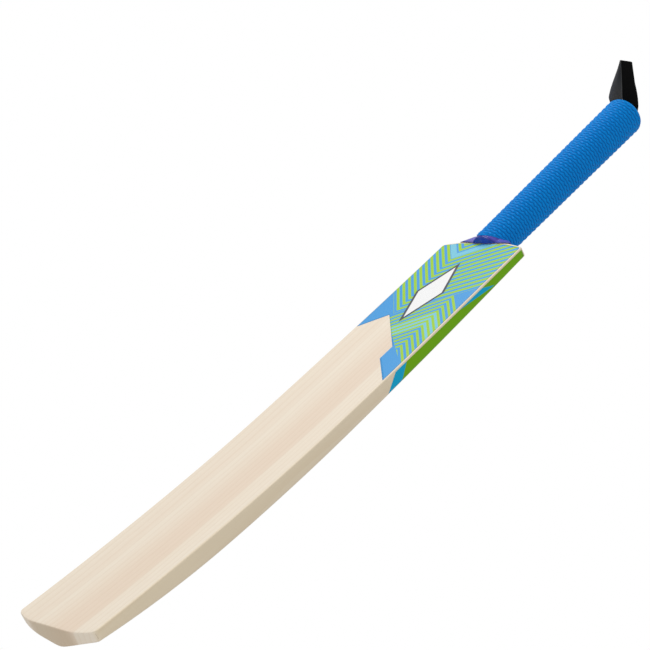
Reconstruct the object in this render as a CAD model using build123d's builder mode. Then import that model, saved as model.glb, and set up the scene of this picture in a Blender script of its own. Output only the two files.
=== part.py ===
from build123d import *
import math
import os

# Cricket bat, millimetres. It stands upright on its toe: +Z runs up the handle, the hitting
# face looks to -Y, and the origin is on the flat of the toe, midway between the two edges.

# Blade
bat_length = 850.0  # toe to the closed end of the grip, along the bat
blade_width = 108.0
shoulder_width = 106.0
shoulder_height = 593.0  # the outer corner of the shoulder above the toe
shoulder_rise = 4.4  # how much the shoulder climbs from its corner to the neck
neck_rise = 15.0  # where the neck meets the round handle, above the shoulder's corner
flare_radius = 31.0  # reach of the concave neck on top of the shoulder
toe_sweep = 12.2  # the toe stands forward of the middle of the face
shoulder_sweep = 6.6  # and so does the shoulder
bow_height = 284.0  # where the face is furthest back
face_crown = 0.8
toe_edge, middle_edge, shoulder_edge = 9.8, 17.4, 10.6  # edge thickness up the blade
toe_spine, middle_spine, shoulder_spine = 21.0, 44.0, 21.5  # spine thickness up the blade
edge_swell_height = 150.0
spine_swell_height = 230.0
front_corner_radius = 1.5
back_corner_radius = 3.0
toe_flat = 40.0  # width of the flat in the middle of the toe
toe_rise = 8.0  # how much the toe curves up by the time it reaches an edge
toe_corner_radius = 5.0

# Handle, laminated from cane with two rubber strips
handle_offset = 1.9  # the handle's axis behind the middle of the face, at the shoulder
handle_lean = math.degrees(math.atan(0.04))  # the handle leans towards the face
handle_foot = 2.8  # where the round of the handle starts, above the shoulder's corner
cane_foot_radius = 14.4
cane_end_radius = 17.0
neck_wall = 0.7  # of wood round the foot of the handle
cane_end_chamfer = 1.2
row_gap = 8.4  # thickness of the middle row of cane
rubber_strip_thickness = 1.6
column_width = 10.0  # width of the middle column of cane
splice_length = 116.0
splice_tip_width = 5.0

# Binding, tape and grip
twine_thickness = 0.9
tape_thickness = 0.6
tape_reach = 33.0  # the tape stops this far from the handle's axis
tape_foot = 2.0  # lowest edge of the tape, above the shoulder's corner
grip_wall = 2.4
grip_foot = 4.6  # lowest edge of the grip, above the shoulder's corner
grip_end_wall = 2.2
grip_end_radius = 6.0  # rounding of the grip's closed end
end_round_share = 0.97  # of the width of that end, at most
grip_opening_gap = 0.4  # round the strap where it comes out of the grip's end

# Hanging strap
strap_width = 20.0
strap_thickness = 1.1
strap_gap = 15.0  # between its two legs, where they leave the handle
strap_length = 55.4
strap_lean = 59.5  # degrees from the handle's axis, towards the face
strap_fold = 4.0  # the length sewn together at the crease
strap_foot_length = 26.0
strap_tab = 2.4  # height of the turned-up ends of the foot
staple_wire = 1.0
staple_crown = 16.0
staple_leg = 8.0
staple_offset = 11.0
staple_bend = 1.4

# Labels
label_thickness = 0.2
label_margin = 1.8  # bare wood left along an edge
label_top_gap = 1.5
label_tape_gap = 0.8
face_label_length = 217.0
edge_label_length = 201.0
edge_label_slant = 17.5
back_label_length = 190.0
back_label_width = 78.0

clearance = 0.1
strap_clearance = 0.5

# Worked out from the sizes above
neck_height = shoulder_height + neck_rise
axis_base = Vector(0, handle_offset, shoulder_height)
handle_plane = Plane(axis_base, x_dir=(1, 0, 0), z_dir=(0, -math.tan(math.radians(handle_lean)), 1))
handle_axis = Axis(axis_base, handle_plane.z_dir)
profile_plane = Plane(axis_base, x_dir=(1, 0, 0), z_dir=-handle_plane.y_dir)
grip_top = (bat_length - shoulder_height) / math.cos(math.radians(handle_lean))
cane_top = grip_top - grip_end_wall - strap_thickness - staple_wire - clearance
station_heights = [-4, 40, 85, 150, 230, 320, 420, 500, 550]
reach = blade_width  # larger than any half-width, for cutting shapes
deep = 3 * middle_spine  # larger than any thickness, for cutting shapes


def half_width(z):
    climbed = min(max(z / shoulder_height, 0), 1)
    return (blade_width + (shoulder_width - blade_width) * climbed) / 2


def face_line(z):
    # The bowed face: furthest back at bow_height, forward at the toe and at the shoulder
    if z < bow_height:
        return -toe_sweep * (1 - z / bow_height) ** 1.9
    return -shoulder_sweep * ((z - bow_height) / (shoulder_height - bow_height)) ** 1.5


def swell(z, toe, middle, shoulder, swell_height):
    # A thickness that grows from the toe to its swell and thins again up to the shoulder
    if z < swell_height:
        return middle - (middle - toe) * (1 - max(z, 0) / swell_height) ** 2
    climbed = min((z - swell_height) / (shoulder_height - swell_height), 1)
    return middle - (middle - shoulder) * climbed**1.5


def edge_back(z):
    return face_line(z) + swell(z, toe_edge, middle_edge, shoulder_edge, edge_swell_height)


def spine_back(z):
    return face_line(z) + swell(z, toe_spine, middle_spine, shoulder_spine, spine_swell_height)


def blade_form(grow):
    # The blade's lofted outside before the toe and the shoulder are cut, made larger by grow
    bend = 1 - math.sqrt(0.5)  # how far a 90 degree corner's arc cuts it, as a share of its radius
    stations = [height * shoulder_height / 593 for height in station_heights]
    stations = [height for height in stations if height < shoulder_height] + [neck_height + 4]
    with BuildPart() as form:
        for z in stations:
            half = half_width(z) + grow
            front = face_line(z) - grow
            back = edge_back(z) + grow
            spine = spine_back(z) + grow
            rise = spine - back
            flank = [(1, 0), (0.55, 0.15), (0.18, 1), (0, 1)]  # hollow flank, then a rounded spine
            inner = half - back_corner_radius
            with BuildSketch(Plane.XY.offset(z)):
                with BuildLine():
                    ThreePointArc(
                        (front_corner_radius - half, front),
                        (0, front - face_crown),
                        (half - front_corner_radius, front),
                    )
                    for side in (1, -1):
                        ThreePointArc(
                            (side * (half - front_corner_radius), front),
                            (side * (half - front_corner_radius * bend), front + front_corner_radius * bend),
                            (side * half, front + front_corner_radius),
                        )
                        Line(
                            (side * half, front + front_corner_radius),
                            (side * half, back - back_corner_radius),
                        )
                        ThreePointArc(
                            (side * half, back - back_corner_radius),
                            (side * (half - back_corner_radius * bend), back - back_corner_radius * bend),
                            (side * inner, back),
                        )
                    for side in (1, -1):
                        Bezier(*[(side * inner * share, back + rise * up) for share, up in flank])
                make_face()
        loft()
    return form.part


def shoulder_form(grow):
    # All that lies below the sloping shoulder, and inside the neck's flare above it
    neck = cane_foot_radius + neck_wall + grow
    corner = shoulder_width / 2
    slope = shoulder_rise / (corner - flare_radius)
    low = -(shoulder_height + reach)
    with BuildPart() as form:
        with BuildSketch(profile_plane):
            with BuildLine():
                Line((0, low), (0, neck_rise))
                Line((0, neck_rise), (neck, neck_rise))
                ThreePointArc(
                    (neck, neck_rise),
                    (
                        neck + 0.28 * (flare_radius - neck),
                        shoulder_rise + grow + 0.32 * (neck_rise - shoulder_rise),
                    ),
                    (flare_radius + grow, shoulder_rise + grow),
                )
                Polyline(
                    (flare_radius + grow, shoulder_rise + grow),
                    (reach, grow - slope * (reach - corner)),
                    (reach, low),
                    (0, low),
                )
            make_face()
        revolve(axis=handle_axis)
    return form.part


def round_handle(foot, foot_radius, top, top_radius):
    # A tapered round on the handle's axis
    with BuildPart() as form:
        with BuildSketch(profile_plane):
            with BuildLine():
                Polyline((0, foot), (foot_radius, foot), (top_radius, top), (0, top), close=True)
            make_face()
        revolve(axis=handle_axis)
    return form.part


def cane_radius(t):
    # The cane's radius at t along the handle's axis
    share = (t - handle_foot) / (cane_top - handle_foot)
    return cane_foot_radius + (cane_end_radius - cane_foot_radius) * share


blade_outside = blade_form(0)
label_outside = blade_form(label_thickness)

# The blade's outside, trimmed at the shoulder and the toe
toe_half = toe_flat / 2
toe_run = blade_width / 2 - toe_half
toe_radius = (toe_run**2 + toe_rise**2) / (2 * toe_rise)
past_edge = 0.3  # the outline stands this far outside the edges, so that it cuts only the toe
toe_end = toe_half + toe_run + past_edge
toe_end_rise = toe_radius - math.sqrt(toe_radius**2 - (toe_run + past_edge) ** 2)
with BuildPart() as cleft:
    add(blade_outside)
    add(shoulder_form(0), mode=Mode.INTERSECT)
    with BuildSketch(Plane.XZ) as toe_outline:
        with BuildLine():
            Line((-toe_half, 0), (toe_half, 0))
            for side in (1, -1):
                TangentArc((side * toe_half, 0), (side * toe_end, toe_end_rise), tangent=(side, 0))
                Line((side * toe_end, toe_end_rise), (side * toe_end, neck_height + reach))
            Line((-toe_end, neck_height + reach), (toe_end, neck_height + reach))
        make_face()
        fillet(toe_outline.vertices().group_by(Axis.Y)[1], toe_corner_radius)
    extrude(amount=deep, both=True, mode=Mode.INTERSECT)

# The V of the splice, straight above the shoulder's line
splice_tip = shoulder_height + handle_foot - splice_length
with BuildPart() as splice:
    with BuildSketch(Plane.XZ):
        with BuildLine():
            Polyline(
                (-splice_tip_width / 2, splice_tip),
                (splice_tip_width / 2, splice_tip),
                (cane_foot_radius, shoulder_height + handle_foot - 1),
                (cane_foot_radius, neck_height + reach),
                (-cane_foot_radius, neck_height + reach),
                (-cane_foot_radius, shoulder_height + handle_foot - 1),
                close=True,
            )
        make_face()
    extrude(amount=deep, both=True)

cane_round = round_handle(handle_foot, cane_foot_radius, cane_top, cane_end_radius)

with BuildPart() as blade:
    add(cleft.part)
    add(splice.part, mode=Mode.SUBTRACT)
    add(cane_round, mode=Mode.SUBTRACT)

# The whole handle, round above and wedge below, before it is divided into strips
with BuildPart() as handle_blank:
    add(cleft.part)
    add(splice.part, mode=Mode.INTERSECT)
    add(cane_round)
    chamfer(handle_blank.faces().sort_by(Axis.Z)[-1].edges(), cane_end_chamfer)

# Staples across the foot of the strap
staple_height = cane_top + strap_thickness + staple_wire / 2
staple_plane = Plane(axis_base, x_dir=handle_plane.y_dir, z_dir=(1, 0, 0))


def staple_part(side):
    half = staple_crown / 2
    with BuildPart() as staple:
        with BuildLine(staple_plane.offset(side * staple_offset)) as wire:
            FilletPolyline(
                (-half, staple_height - staple_leg),
                (-half, staple_height),
                (half, staple_height),
                (half, staple_height - staple_leg),
                radius=staple_bend,
            )
        with BuildSketch(Plane(wire.line @ 0, z_dir=wire.line % 0)):
            Circle(staple_wire / 2)
        sweep()
    return staple.part


with BuildPart() as strap_staples:
    for side in (1, -1):
        add(staple_part(side))

# Cane strips in three rows and three columns, with a rubber strip between the rows
row_edge = row_gap / 2
rubber_edge = row_edge + rubber_strip_thickness
rows = {"front": (-deep, -rubber_edge), "middle": (-row_edge, row_edge), "back": (rubber_edge, deep)}
column_edge = column_width / 2
columns = {
    "left": (-reach, -column_edge),
    "centre": (-column_edge, column_edge),
    "right": (column_edge, reach),
}


def handle_strip(x_span, y_span):
    # The share of the handle blank between two pairs of planes along the handle
    with BuildPart() as strip:
        add(handle_blank.part)
        with BuildSketch(handle_plane.offset(-shoulder_height)):
            with Locations((sum(x_span) / 2, sum(y_span) / 2)):
                Rectangle(x_span[1] - x_span[0], y_span[1] - y_span[0])
        extrude(amount=bat_length + reach, mode=Mode.INTERSECT)
        add(strap_staples.part, mode=Mode.SUBTRACT)
    return strip.part


handle_parts = {}
for row, y_span in rows.items():
    for column, x_span in columns.items():
        handle_parts[f"cane_{row}_{column}"] = handle_strip(x_span, y_span)
handle_parts["rubber_strip_front"] = handle_strip((-reach, reach), (-rubber_edge, -row_edge))
handle_parts["rubber_strip_back"] = handle_strip((-reach, reach), (row_edge, rubber_edge))

# Adhesive tape over the neck
tape_top = neck_rise + 1


def neck_form(grow):
    # The outside of the shoulder, the neck and the foot of the handle, made larger by grow
    with BuildPart() as form:
        add(blade_form(grow))
        add(shoulder_form(grow), mode=Mode.INTERSECT)
        add(round_handle(handle_foot - grow, cane_foot_radius + grow, tape_top, cane_radius(tape_top) + grow))
    return form.part


with BuildPart() as neck_tape:
    add(neck_form(tape_thickness))
    with BuildSketch(handle_plane.offset(tape_foot)):
        Circle(tape_reach)
    extrude(amount=tape_top, mode=Mode.INTERSECT)
    add(cleft.part, mode=Mode.SUBTRACT)
    add(handle_blank.part, mode=Mode.SUBTRACT)

# Twine wound over the cane from the tape to the handle's end
twine_foot = tape_top + clearance
twine_top = cane_top - cane_end_chamfer
with BuildPart() as twine_binding:
    with BuildSketch(profile_plane):
        with BuildLine():
            Polyline(
                (cane_radius(twine_foot) + clearance / 2, twine_foot),
                (cane_radius(twine_foot) + twine_thickness, twine_foot),
                (cane_radius(twine_top) + twine_thickness, twine_top),
                (cane_radius(twine_top) + clearance / 2, twine_top),
                close=True,
            )
        make_face()
    revolve(axis=handle_axis)

# Rubber grip: a tapered sleeve with a closed end, pushed down onto the neck
grip_gap = twine_thickness + clearance
leg_outside = strap_gap / 2 + strap_thickness
grip_opening_radius = math.hypot(leg_outside, strap_width / 2) + grip_opening_gap
grip_end_face = cane_end_radius + grip_gap + grip_wall - grip_opening_radius
grip_end_round = min(grip_end_radius, grip_end_face * end_round_share)
with BuildPart() as rubber_grip:
    with BuildSketch(profile_plane) as grip_profile:
        with BuildLine():
            Polyline(
                (cane_radius(grip_foot) + grip_gap, grip_foot),
                (cane_radius(grip_foot) + grip_gap + grip_wall, grip_foot),
                (cane_end_radius + grip_gap + grip_wall, grip_top),
                (grip_opening_radius, grip_top),
                (grip_opening_radius, grip_top - grip_end_wall),
                (cane_end_radius + grip_gap, grip_top - grip_end_wall),
                close=True,
            )
        make_face()
        fillet(grip_profile.vertices().group_by(Axis.Y)[-1].sort_by(Axis.X)[-1], grip_end_round)
    revolve(axis=handle_axis)
    add(neck_form(tape_thickness + clearance), mode=Mode.SUBTRACT)

# The strap's foot, stapled flat on the end of the cane, with an end turned up at each leg
with BuildPart() as strap_foot:
    with BuildSketch(handle_plane.offset(cane_top)):
        Rectangle(strap_foot_length, strap_width)
    extrude(amount=strap_thickness)
    with BuildSketch(handle_plane.offset(cane_top)):
        for side in (1, -1):
            with Locations((side * (leg_outside - strap_thickness / 2), 0)):
                Rectangle(strap_thickness, strap_width)
    extrude(amount=strap_thickness + strap_tab)
    add(strap_staples.part, mode=Mode.SUBTRACT)

# The strap's loop: two legs that meet in a crease, leaning over the front of the grip's end
end_plane = handle_plane.offset(grip_top)
lean = math.radians(strap_lean)
loop_direction = handle_plane.z_dir * math.cos(lean) - handle_plane.y_dir * math.sin(lean)
loop_plane = Plane(end_plane.origin, x_dir=(1, 0, 0), z_dir=Vector(1, 0, 0).cross(loop_direction))
side_plane = Plane(end_plane.origin, x_dir=-handle_plane.y_dir, z_dir=(-1, 0, 0))
grip_end_outside = cane_end_radius + grip_gap + grip_wall


def along_loop(distance, across):
    # Forward and up from the handle's end, for a point on the loop
    forward = distance * math.sin(lean) - across * math.cos(lean)
    up = distance * math.cos(lean) + across * math.sin(lean)
    return forward, up


with BuildPart() as strap_loop:
    with BuildSketch(loop_plane):
        with BuildLine():
            Polyline(
                (-leg_outside, 0),
                (leg_outside, 0),
                (strap_thickness, strap_length),
                (-strap_thickness, strap_length),
                close=True,
            )
        make_face()
        with BuildLine():
            Polyline(
                (-strap_gap / 2, 0),
                (strap_gap / 2, 0),
                (0, strap_length - strap_fold),
                close=True,
            )
        make_face(mode=Mode.SUBTRACT)
    extrude(amount=deep, both=True)
    with BuildSketch(side_plane):
        with BuildLine():
            Polyline(
                (1.2, strap_clearance),
                (grip_end_outside, 3.5 * strap_clearance),
                along_loop(strap_length + 1, -strap_width / 2),
                along_loop(strap_length + 1, strap_width / 2),
                along_loop(0.3 * strap_length, 0.25 * strap_width),
                (0.6, 3.2 * strap_clearance),
                close=True,
            )
        make_face()
    extrude(amount=reach, both=True, mode=Mode.INTERSECT)

# Labels
label_top = shoulder_height - label_top_gap
face_label_half = shoulder_width / 2 - label_margin
face_label_foot = label_top - face_label_length
face_label_peak = shoulder_height + tape_foot - label_tape_gap
with BuildPart() as face_label:
    add(label_outside)
    with BuildSketch(Plane.XZ):
        with BuildLine():
            Polyline(
                (-face_label_half, label_top),
                (-face_label_half, face_label_foot + 76),
                (-0.48 * face_label_half, face_label_foot + 97),
                (0.42 * face_label_half, face_label_foot + 49),
                (0.42 * face_label_half, face_label_foot + 30),
                (face_label_half, face_label_foot),
                (face_label_half, label_top),
                (flare_radius, face_label_peak),
                (-flare_radius, face_label_peak),
                close=True,
            )
        make_face()
    extrude(amount=deep, mode=Mode.INTERSECT)
    add(blade_outside, mode=Mode.SUBTRACT)


def edge_label(side):
    # A sticker along one edge, between the rounded corners
    foot = label_top - edge_label_length
    span = edge_label_length - label_margin
    steps = [foot + span * step / 4 for step in range(5)]
    front = [(face_line(z) + label_margin, z) for z in steps]
    back = [(edge_back(z) - back_corner_radius / 2, z) for z in steps]
    back[0] = (edge_back(foot - edge_label_slant) - back_corner_radius / 2, foot - edge_label_slant)
    with BuildPart() as label:
        add(label_outside)
        with BuildSketch(Plane.YZ):
            with BuildLine():
                Spline(front)
                Spline(back)
                Line(front[0], back[0])
                Line(front[-1], back[-1])
            make_face()
        extrude(amount=side * reach, mode=Mode.INTERSECT)
        add(blade_outside, mode=Mode.SUBTRACT)
    return label.part


with BuildPart() as back_label:
    add(label_outside)
    with BuildSketch(Plane.XZ):
        with Locations((0, label_top - back_label_length / 2)):
            RectangleRounded(back_label_width, back_label_length, back_label_width / 6)
    extrude(amount=-deep, mode=Mode.INTERSECT)
    add(blade_outside, mode=Mode.SUBTRACT)

nodes = {
    "blade": blade.part,
    **handle_parts,
    "twine_binding": twine_binding.part,
    "neck_tape": neck_tape.part,
    "rubber_grip": rubber_grip.part,
    "strap_foot": strap_foot.part,
    "strap_staples": strap_staples.part,
    "strap_loop": strap_loop.part,
    "face_label": face_label.part,
    "right_edge_label": edge_label(1),
    "left_edge_label": edge_label(-1),
    "back_label": back_label.part,
}
os.makedirs("parts", exist_ok=True)
for name, part in nodes.items():
    part.label = name
    export_step(part, f"parts/{name}.step")
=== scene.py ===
import math

import bmesh
import bpy
import numpy as np
from mathutils import Matrix, Vector


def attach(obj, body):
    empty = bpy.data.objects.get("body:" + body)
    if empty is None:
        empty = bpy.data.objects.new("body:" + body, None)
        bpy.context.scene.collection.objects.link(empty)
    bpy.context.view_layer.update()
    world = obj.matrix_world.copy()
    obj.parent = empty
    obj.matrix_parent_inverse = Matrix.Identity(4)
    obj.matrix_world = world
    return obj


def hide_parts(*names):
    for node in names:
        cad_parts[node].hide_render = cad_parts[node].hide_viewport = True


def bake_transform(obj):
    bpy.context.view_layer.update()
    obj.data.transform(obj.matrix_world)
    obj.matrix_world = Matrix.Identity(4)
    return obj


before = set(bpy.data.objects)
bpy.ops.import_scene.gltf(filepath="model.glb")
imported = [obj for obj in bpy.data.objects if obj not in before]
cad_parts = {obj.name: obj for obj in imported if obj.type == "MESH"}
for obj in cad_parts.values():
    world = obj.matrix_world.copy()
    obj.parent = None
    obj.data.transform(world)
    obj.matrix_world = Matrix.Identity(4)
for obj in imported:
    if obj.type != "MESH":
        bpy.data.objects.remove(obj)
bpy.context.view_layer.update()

# sizes in millimetres: heights are from the toe up, and on the handle from the shoulder's corner up
mm = 0.001
bat = dict(length=850.0, toeWidth=108.0, shoulderWidth=106.0, shoulder=593.0, rise=4.4, flare=31.0,
           bow=284.0, toeSweep=12.2, toeCurve=1.9, shoulderSweep=6.6, shoulderCurve=1.5, crown=0.8,
           edge=(9.8, 17.4, 10.6), edgeSwell=150.0, spine=(21.0, 44.0, 21.5), spineSwell=230.0,
           front=1.5, back=3.0, toeFlat=40.0, toeRise=8.0, toeCorner=5.0, toeLift=0.86,
           shoulderCorner=4.0, shoulderDrop=0.8, tapeSeat=0.3, axisHeight=6.0)
handle = dict(offset=1.9, lean=0.04, foot=2.8, caneFoot=14.4, caneEnd=17.0, twine=0.9, gap=0.1,
              gripWall=2.4, gripFoot=4.6, endWall=2.2, endRound=6.0, opening=13.6, webbing=1.1, staple=1.0)
axisScale = math.sqrt(1 + handle["lean"] ** 2)
axisLength = (bat["length"] - bat["shoulder"]) * axisScale
caneTop = axisLength - handle["endWall"] - handle["webbing"] - handle["staple"] - handle["gap"]


def halfWidth(z):
    climbed = np.clip(z / bat["shoulder"], 0, 1)
    return (bat["toeWidth"] + (bat["shoulderWidth"] - bat["toeWidth"]) * climbed) / 2


def faceLine(z):
    # the bowed face: it sweeps back a little from its lowest bow, down to the toe and up to the shoulder
    climbed = (z - bat["bow"]) / (bat["shoulder"] - bat["bow"])
    low = -bat["toeSweep"] * np.clip(1 - z / bat["bow"], 0, 2) ** bat["toeCurve"]
    high = -bat["shoulderSweep"] * np.clip(climbed, 0, 2) ** bat["shoulderCurve"]
    return np.where(z < bat["bow"], low, high)


def swell(z, sizes, height):
    # a thickness that grows from the toe to its most at a height, and thins out again to the shoulder
    toe, middle, shoulder = sizes
    low = middle - (middle - toe) * (1 - np.clip(z, 0, height) / height) ** 2
    climbed = np.clip((z - height) / (bat["shoulder"] - height), 0, 1)
    return np.where(z < height, low, middle - (middle - shoulder) * climbed ** bat["shoulderCurve"])


def edgeBack(z):
    return faceLine(z) + swell(z, bat["edge"], bat["edgeSwell"])


def spineBack(z):
    return faceLine(z) + swell(z, bat["spine"], bat["spineSwell"])


# one flank of the back, from the edge (1, 0) up to the spine (0, 1), as a curve with two handles
flank = dict(edgeHandle=(0.55, 0.15), spineHandle=(0.18, 1.0), steps=60)
flankU = np.linspace(0, 1, flank["steps"])
nearEdge = 3 * (1 - flankU) ** 2 * flankU
nearSpine = 3 * (1 - flankU) * flankU ** 2
flankX = (1 - flankU) ** 3 + nearEdge * flank["edgeHandle"][0] + nearSpine * flank["spineHandle"][0]
flankY = nearEdge * flank["edgeHandle"][1] + nearSpine * flank["spineHandle"][1] + flankU ** 3
# the wood and the back label swell a little over the end of the splice
fairing = dict(height=0.85, foot=548.0, run=40.0, halfWidth=23.0, edge=8.0)


def frontY(x, z):
    half = halfWidth(z) - bat["front"]
    share = np.clip(np.abs(x) / half, 0, 1)
    y = faceLine(z) - bat["crown"] * (1 - share ** 2)
    over = np.clip(np.abs(x) - half, 0, bat["front"])
    return y + bat["front"] - np.sqrt(bat["front"] ** 2 - over ** 2)


def backY(x, z):
    inner = halfWidth(z) - bat["back"]
    share = np.clip(np.abs(x) / inner, 0, 1)
    up = np.interp(share, flankX[::-1], flankY[::-1])
    y = edgeBack(z) + (spineBack(z) - edgeBack(z)) * up
    over = np.clip(np.abs(x) - inner, 0, bat["back"])
    climbed = np.clip((z - fairing["foot"]) / fairing["run"], 0, 1)
    inwards = np.clip((fairing["halfWidth"] - np.abs(x)) / fairing["edge"], 0, 1)
    return y - bat["back"] + np.sqrt(bat["back"] ** 2 - over ** 2) + fairing["height"] * climbed * inwards


def toeZ(x):
    # flat in the middle, rising on a wide arc to each side, with a small corner
    flat = bat["toeFlat"] / 2
    run = bat["toeWidth"] / 2 - flat
    radius = (run ** 2 + bat["toeRise"] ** 2) / (2 * bat["toeRise"])
    out = np.clip(np.abs(x) - flat, 0, radius)
    z = radius - np.sqrt(radius ** 2 - out ** 2)
    corner = bat["toeCorner"]
    over = np.clip(np.abs(x) - (bat["toeWidth"] / 2 - corner), 0, corner)
    return z + (corner - np.sqrt(corner ** 2 - over ** 2)) * bat["toeLift"]


def shoulderZ(x, y):
    # the top of the shoulder: flat under the tape, then sloping down to both corners
    r = np.sqrt(x ** 2 + (y - handle["offset"] + handle["lean"] * bat["axisHeight"]) ** 2)
    slope = bat["rise"] / (bat["shoulderWidth"] / 2 - bat["flare"])
    t = bat["rise"] - slope * (r - bat["flare"])
    t = np.where(r < bat["flare"], bat["rise"] - bat["tapeSeat"], t)
    corner = bat["shoulderCorner"]
    over = np.clip(np.abs(x) - (bat["shoulderWidth"] / 2 - corner), 0, corner - 0.01)
    t = t - (corner - np.sqrt(corner ** 2 - over ** 2)) * bat["shoulderDrop"]
    return bat["shoulder"] + t + handle["lean"] * (y - handle["offset"])


def makeMesh(name, points, faces, body, weld=True):
    mesh = bpy.data.meshes.new(name)
    corners = [tuple(p) for p in np.asarray(points) * mm]
    mesh.from_pydata(corners, [], [tuple(int(i) for i in face) for face in faces])
    mesh.validate()
    mesh.update()
    work = bmesh.new()
    work.from_mesh(mesh)
    if weld:
        bmesh.ops.remove_doubles(work, verts=work.verts, dist=1e-6)
    bmesh.ops.recalc_face_normals(work, faces=work.faces)
    for face in work.faces:
        face.smooth = True
    work.to_mesh(mesh)
    work.free()
    obj = bpy.data.objects.new(name, mesh)
    bpy.context.scene.collection.objects.link(obj)
    if body:
        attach(obj, body)
    return obj


def gridFaces(rows, columns, closed=False, start=0):
    faces = []
    last = columns if closed else columns - 1
    for i in range(rows - 1):
        for j in range(last):
            k = (j + 1) % columns
            faces.append((start + i * columns + j, start + i * columns + k,
                          start + (i + 1) * columns + k, start + (i + 1) * columns + j))
    return faces


def outlineAt(z):
    # one turn round the blade: across the face, up the right edge, back over the spine, down the left edge
    half = float(halfWidth(z))
    front, back = float(faceLine(z)), float(edgeBack(z))
    f, b = bat["front"], bat["back"]
    phi = np.linspace(-math.pi / 2, math.pi / 2, blade["across"])
    evenness = 1 - blade["gather"]
    spacing = blade["gather"] * np.sin(phi) + evenness * phi / (math.pi / 2)
    turn = np.linspace(0, math.pi / 2, blade["cornerSteps"] + 1)[1:]
    along = np.linspace(0, 1, blade["sideSteps"] + 2)[1:]
    pts = [(x, float(frontY(x, z))) for x in (half - f) * spacing]
    pts += [(half - f + f * math.sin(a), front + f - f * math.cos(a)) for a in turn]
    pts += [(half, front + f + (back - b - front - f) * s) for s in along]
    pts += [(half - b + b * math.cos(a), back - b + b * math.sin(a)) for a in turn]
    pts += [(x, float(backY(x, z))) for x in (half - b) * spacing[::-1][1:]]
    pts += [(-half + b - b * math.sin(a), back - b + b * math.cos(a)) for a in turn]
    pts += [(-half, back - b + (front + f - back + b) * s) for s in along]
    pts += [(-half + f - f * math.cos(a), front + f - f * math.sin(a)) for a in turn[:-1]]
    return np.array(pts)


def insetOutline(pts, amount):
    # every point moved inwards, square to the outline
    after = np.roll(pts, -1, 0)
    before = np.roll(pts, 1, 0)
    along = after - before
    along /= np.linalg.norm(along, axis=1)[:, None] + 1e-12
    normal = np.stack([along[:, 1], -along[:, 0]], 1)
    return pts - normal * amount


print("blade")
blade = dict(rows=150, edgeRound=1.3, toeRows=7, roundRows=6, topRows=22, lowest=-5.0, highest=625.0,
             stations=160, across=46, gather=0.72, cornerSteps=5, sideSteps=5, toeLevel=4.0, topLevel=595.0,
             topLimit=607.0, toeMiddle=1.0)


def bladeMesh():
    stations = np.linspace(blade["lowest"], blade["highest"], blade["stations"])
    table = np.array([outlineAt(z) for z in stations])
    count = table.shape[1]
    column = np.arange(count)

    def ringAt(z):
        # an outline whose points each have a height of their own
        inside = np.clip(z, blade["lowest"], blade["highest"] - 0.1)
        place = (inside - blade["lowest"]) / (stations[1] - stations[0])
        low = place.astype(int)
        share = (place - low)[:, None]
        return table[low, column] * (1 - share) + table[low + 1, column] * share

    rings = []
    r = blade["edgeRound"]
    base = ringAt(np.zeros(count) + blade["toeLevel"])
    top = ringAt(np.zeros(count) + blade["topLevel"])
    low = toeZ(base[:, 0])
    high = shoulderZ(top[:, 0], top[:, 1])
    middle = (float(faceLine(0.0)) + float(edgeBack(0.0))) / 2 + blade["toeMiddle"]
    # the toe's end, closed along its middle, then its rounded rim
    for s in np.linspace(0, 1, blade["toeRows"])[::-1][:-1]:
        ring = insetOutline(ringAt(low), r)
        ring[:, 1] += (middle - ring[:, 1]) * s
        rings.append(np.column_stack([ring, toeZ(ring[:, 0])]))
    for a in np.linspace(math.pi / 2, 0, blade["roundRows"]):
        lift = r * (1 - math.sin(a))
        ring = insetOutline(ringAt(low + lift), r * (1 - math.cos(a)))
        rings.append(np.column_stack([ring, toeZ(ring[:, 0]) + lift]))
    # the long walls, then the rim of the shoulder and its top
    lowWall = rings[-1][:, 2]
    for s in np.linspace(0, 1, blade["rows"])[1:-1]:
        z = lowWall + (high - r - lowWall) * s
        ring = ringAt(z)
        rings.append(np.column_stack([ring, z]))
    for a in np.linspace(0, math.pi / 2, blade["roundRows"]):
        drop = r * (1 - math.sin(a))
        ring = insetOutline(ringAt(high - drop), r * (1 - math.cos(a)))
        rings.append(np.column_stack([ring, shoulderZ(ring[:, 0], ring[:, 1]) - drop]))
    inner = insetOutline(ringAt(high), r)
    for s in np.linspace(0, 1, blade["topRows"])[1:]:
        ring = inner.copy()
        ring[:, 1] += (handle["offset"] - ring[:, 1]) * s
        level = np.minimum(shoulderZ(ring[:, 0], ring[:, 1]), blade["topLimit"])
        rings.append(np.column_stack([ring, level]))
    points = np.concatenate(rings)
    faces = gridFaces(len(rings), count, closed=True)
    return makeMesh("blade_mesh", points, faces, "bat")


bladeObj = bladeMesh()
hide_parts("blade")


# the handle's own frame: its axis leans towards the face
axisDir = np.array([0, -handle["lean"], 1]) / axisScale
axisFront = np.array([0, -1, -handle["lean"]]) / axisScale
axisBase = np.array([0, handle["offset"], bat["shoulder"]])


def onHandle(x, front, t):
    # a place beside the handle's axis, at a height along it
    x, front, t = np.broadcast_arrays(np.asarray(x, float), np.asarray(front, float), np.asarray(t, float))
    sideways = np.stack([x, front * 0, front * 0], -1)
    return axisBase + sideways + front[..., None] * axisFront + t[..., None] * axisDir


def caneRadius(t):
    share = (t - handle["foot"]) / (caneTop - handle["foot"])
    return handle["caneFoot"] + (handle["caneEnd"] - handle["caneFoot"]) * share


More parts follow.
